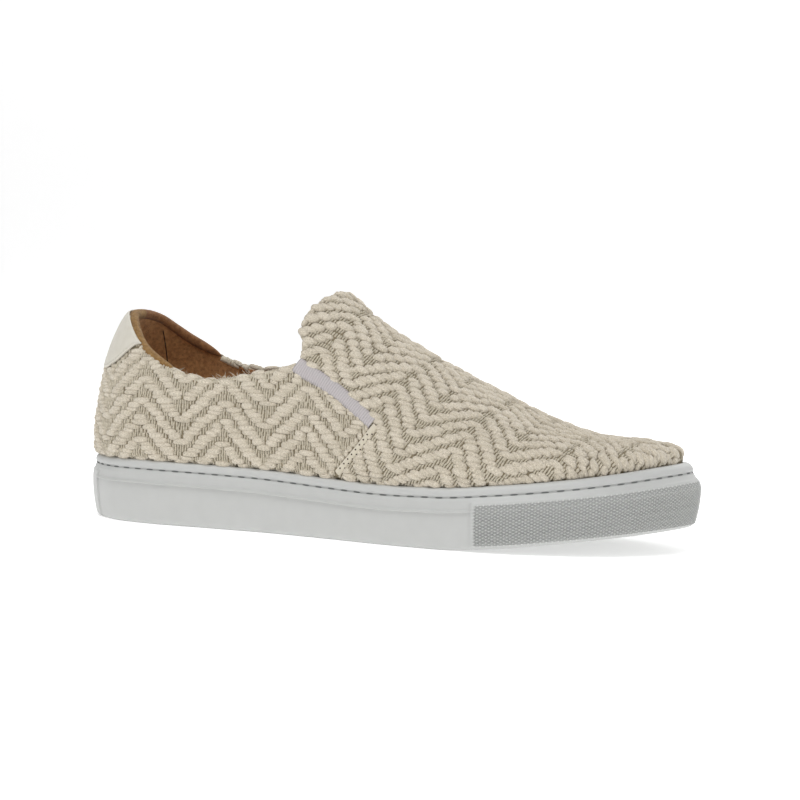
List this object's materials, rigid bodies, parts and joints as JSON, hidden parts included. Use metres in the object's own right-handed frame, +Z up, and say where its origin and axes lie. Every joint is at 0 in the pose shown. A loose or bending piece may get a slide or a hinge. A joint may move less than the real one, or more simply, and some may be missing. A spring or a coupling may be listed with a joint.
{
  "type": "slip-on shoe",
  "caption": "Right slip-on sneaker with a chunky woven upper, elastic gussets beside the tongue, a leather heel tab and a flat rubber cup sole.",
  "frame": {"origin": "centre of the shoe's bounding box in plan, on the ground", "axes": "+X towards the toe, +Y towards the inner side of the foot, +Z up"},
  "size_m": [0.2994, 0.1064, 0.1126],
  "materials": {
    "sole_rubber": "matte moulded rubber",
    "woven_cloth": "thick cream yarn in a herringbone weave",
    "suede": "brown suede",
    "elastic": "ribbed grey elastic",
    "smooth_leather": "smooth off-white leather"
  },
  "bodies": {
    "root": {"cupsole": "sole_rubber", "upper": "woven_cloth", "insole": "suede", "gore_outer": "elastic", "gore_inner": "elastic", "heel_tab": "smooth_leather", "seam_outer": "woven_cloth", "seam_inner": "woven_cloth"}
  },
  "joints": []
}
